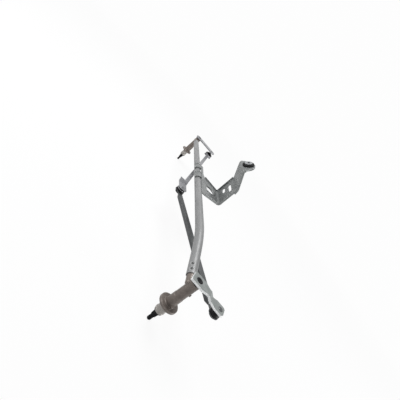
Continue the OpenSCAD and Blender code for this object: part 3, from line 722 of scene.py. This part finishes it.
# %% Rims and spots of the crimps
TUBE_END = Vector((20.5, 4, 56.84)) * MM
BEND_X, FAR_END_X = 155, 733.5
BEND_START = Vector((BEND_X, 4, 75.5)) * MM
END_SLOPE, RUN_SLOPE = 11.8, 1.79
FAR_RUN = (FAR_END_X - BEND_X) / math.cos(math.radians(RUN_SLOPE))
RIM_INNER, RIM_MIDDLE, RIM_OUTER = 3.35, 3.75, 4.25
RIM_THICK, RIM_EDGE = 0.8, 0.2
SPOT_THICK, SPOT_EDGE = 0.3, 0.08
DRAW_HEIGHT = 14
NEAR_CRIMPS, FAR_CRIMP = (8, 19), 8
NEAR_TURN, FAR_TURN = -48, -60
SPOT_R, SPOT_RINGS = 2.3, 3


def press_on_tube(piece, place, thickness, edge):
    """Projects a flat piece on the tube and gives it a thickness with soft edges."""
    piece.matrix_world = place
    press = piece.modifiers.new("press", "SHRINKWRAP")
    press.wrap_method = "PROJECT"
    press.use_project_z = True
    press.use_positive_direction = False
    press.use_negative_direction = True
    press.target = nodes["main_tube"]
    wall = piece.modifiers.new("wall", "SOLIDIFY")
    wall.thickness = thickness * MM
    wall.offset = 0
    soft = piece.modifiers.new("soft", "BEVEL")
    soft.width = edge * MM
    soft.segments = 2
    apply_all(piece)
    bpy.ops.object.shade_smooth_by_angle(angle=math.radians(40))
    return piece


# Painted shade: a dark disc laid at the bottom of a crimp dimple.
def crimp_shade_spot(name, place):
    bpy.ops.object.select_all(action="DESELECT")
    bpy.ops.mesh.primitive_circle_add(vertices=48, radius=SPOT_R * MM, fill_type="NGON",
                                      location=(0, 0, DRAW_HEIGHT * MM))
    spot = bpy.context.object
    spot.name = name
    bpy.ops.object.transform_apply(location=True, rotation=True, scale=True)
    edit(spot)
    for _ in range(SPOT_RINGS):
        bpy.ops.mesh.inset(thickness=SPOT_R / (SPOT_RINGS + 1) * MM, depth=0)
    leave_edit()
    return press_on_tube(spot, place, SPOT_THICK, SPOT_EDGE)


def crimp_rim(name, place):
    bpy.ops.object.select_all(action="DESELECT")
    bpy.ops.mesh.primitive_circle_add(vertices=48, radius=RIM_INNER * MM, fill_type="NOTHING",
                                      location=(0, 0, DRAW_HEIGHT * MM))
    rim = bpy.context.object
    rim.name = name
    bpy.ops.object.transform_apply(location=True, rotation=True, scale=True)
    edit(rim)
    for radius, grown in ((RIM_INNER, RIM_MIDDLE), (RIM_MIDDLE, RIM_OUTER)):
        bpy.ops.mesh.extrude_region_move(TRANSFORM_OT_translate={"value": (0, 0, 0)})
        bpy.ops.transform.resize(value=(grown / radius, grown / radius, 1),
                                 center_override=(0, 0, DRAW_HEIGHT * MM))
    bpy.ops.mesh.select_all(action="SELECT")
    bpy.ops.mesh.normals_make_consistent(inside=False)
    leave_edit()
    return press_on_tube(rim, place, RIM_THICK, RIM_EDGE)


def on_tube(start, slope, along, turn):
    """A frame on the tube: X along it, Z out of its wall at the given turn."""
    return (Matrix.Translation(start) @ Matrix.Rotation(math.radians(slope), 4, "Y")
            @ Matrix.Translation((along * MM, 0, 0))
            @ Matrix.Rotation(math.radians(turn), 4, "X"))


rubbed_steel = finish("rubbed_steel", (0.27, 0.272, 0.274), (0.38, 0.382, 0.384),
                      (0.55, 0.55, 0.55), (0.35, 0.5), 0.35, 90, 1500, 0.2, 0.06)
# Painted shade: a dark paint for the bottom of each dimple.
dimple_shade_steel = finish("dimple_shade_steel", (0.02, 0.021, 0.022), (0.06, 0.061, 0.062),
                      (0.12, 0.12, 0.12), (0.5, 0.65), 0.2, 90, 1500, 0.3, 0.1)


def crimp(label, place):
    rim = crimp_rim(f"crimp_rim_{label}", place)
    settle(rim, "frame", "tube_steel", rim.matrix_world.copy(), rubbed_steel)
    spot = crimp_shade_spot(f"crimp_shade_spot_{label}", place)
    settle(spot, "frame", "tube_steel", spot.matrix_world.copy(), dimple_shade_steel)


for number, along in enumerate(NEAR_CRIMPS):
    crimp(number, on_tube(TUBE_END, -END_SLOPE, along, NEAR_TURN))
crimp("far", on_tube(BEND_START, RUN_SLOPE, FAR_RUN - FAR_CRIMP, FAR_TURN))
print("crimps with rim and spot: 3")

# %% [markdown]
# ## Joint seals
# A soft lip closes the gap between each socket and the lever above it. It is a short
# turned ring with two folds, and it rides with the link, as the socket does.

# %% Seals on the ball joints
NEAR_BALL = (-19.71, -51.35, 55.5)
FAR_BALL = (740.91, -65.35, 57.0)


def lip_seal(name, body, ball, low, high, mouth, wide):
    fold = (low + high) / 2
    piece = turned(name, [(low, mouth), (low, wide), (fold - 0.1, wide - 0.7),
                          (fold + 0.1, wide - 0.5), (high, wide - 1.6), (high, mouth)],
                   sides=48, ring=True)
    settle(piece, body, "rubber", Matrix.Translation(Vector(ball) * MM))


lip_seal("near_joint_seal", "near_link", NEAR_BALL, 6.0, 7.15, 5.2, 8.2)
lip_seal("far_joint_seal", "far_link", FAR_BALL, 4.6, 6.6, 5.2, 9.2)
print("joint seals: 2")

# %% [markdown]
# At the crank joint the two links meet. Its seal is a wider disc under the far link's pad,
# and a ring grips the shoulder of the socket below it, so the joint looks like two black
# discs with a light gap between them. The ring is painted with the lit copy of the link
# plating, a painted light, and it is tilted as the near link is.

# %% Seal and ring at the crank joint
CRANK_BALL = Matrix.Translation(Vector((328, 30.9, 33)) * MM)
LINK_TURN, LINK_PITCH = 13.309, 3.603
LINK_TILT = (Matrix.Rotation(math.radians(LINK_TURN), 4, "Z")
             @ Matrix.Rotation(math.radians(LINK_PITCH), 4, "Y"))
crank_seal = turned("crank_joint_seal", [(6.6, 8.2), (6.6, 11.6), (7.3, 12.2), (8.0, 12.0),
                                         (8.4, 11.2), (8.4, 8.2)], ring=True)
settle(crank_seal, "far_link", "rubber", CRANK_BALL)
grip = turned("crank_joint_ring", [(3.5, 9.4), (3.5, 11.6), (4.0, 11.8), (5.6, 10.6),
                                   (5.8, 10.1), (5.8, 7.6)], ring=True)
settle(grip, "near_link", "link_steel", CRANK_BALL @ LINK_TILT, lit_link_paint)
print("crank joint:", crank_seal.name, grip.name)

# %% [markdown]
# ## Motor hole and bush
# The edge of the motor hole is drawn up into a low collar, which locates the gearbox. The
# rubber bush of the third mounting point has moulded ribs round its steel sleeve.

# %% Collar of the motor hole
collar = turned("motor_hole_collar", [(77.6, 14.05), (81.2, 14.05), (81.5, 14.3), (81.4, 14.9),
                                      (80.6, 15.4), (79.8, 16.4), (77.6, 16.4)],
                ring=True)
MOTOR_AXIS = (0.347, -0.029, 0)
settle(collar, "frame", "bracket_steel", Matrix.Translation(MOTOR_AXIS))
print("collar points:", len(collar.data.vertices))

# %% Ribs on the rubber bush
bore = next(m for m in frame["record"]["mounts"] if m["name"] == "bush_bore")
EYE_MIDDLE = Vector(bore["pos_m"]) + Vector(bore["axis"]) * 0.75 * MM
ON_EYE = Matrix.Translation(EYE_MIDDLE) @ Matrix.Rotation(math.radians(-45), 4, "X")
for number, (radius, top) in enumerate(((11.5, 5.75), (12.8, 5.25))):
    rib = turned(f"bush_rib_{number}", [(top - 1.6, radius - 0.6), (top - 0.3, radius - 0.4),
                                       (top, radius), (top - 0.4, radius + 0.4),
                                       (top - 1.8, radius + 0.6)], sides=64, ring=True)
    settle(rib, "frame", "rubber", ON_EYE)
print("bush ribs: 2")
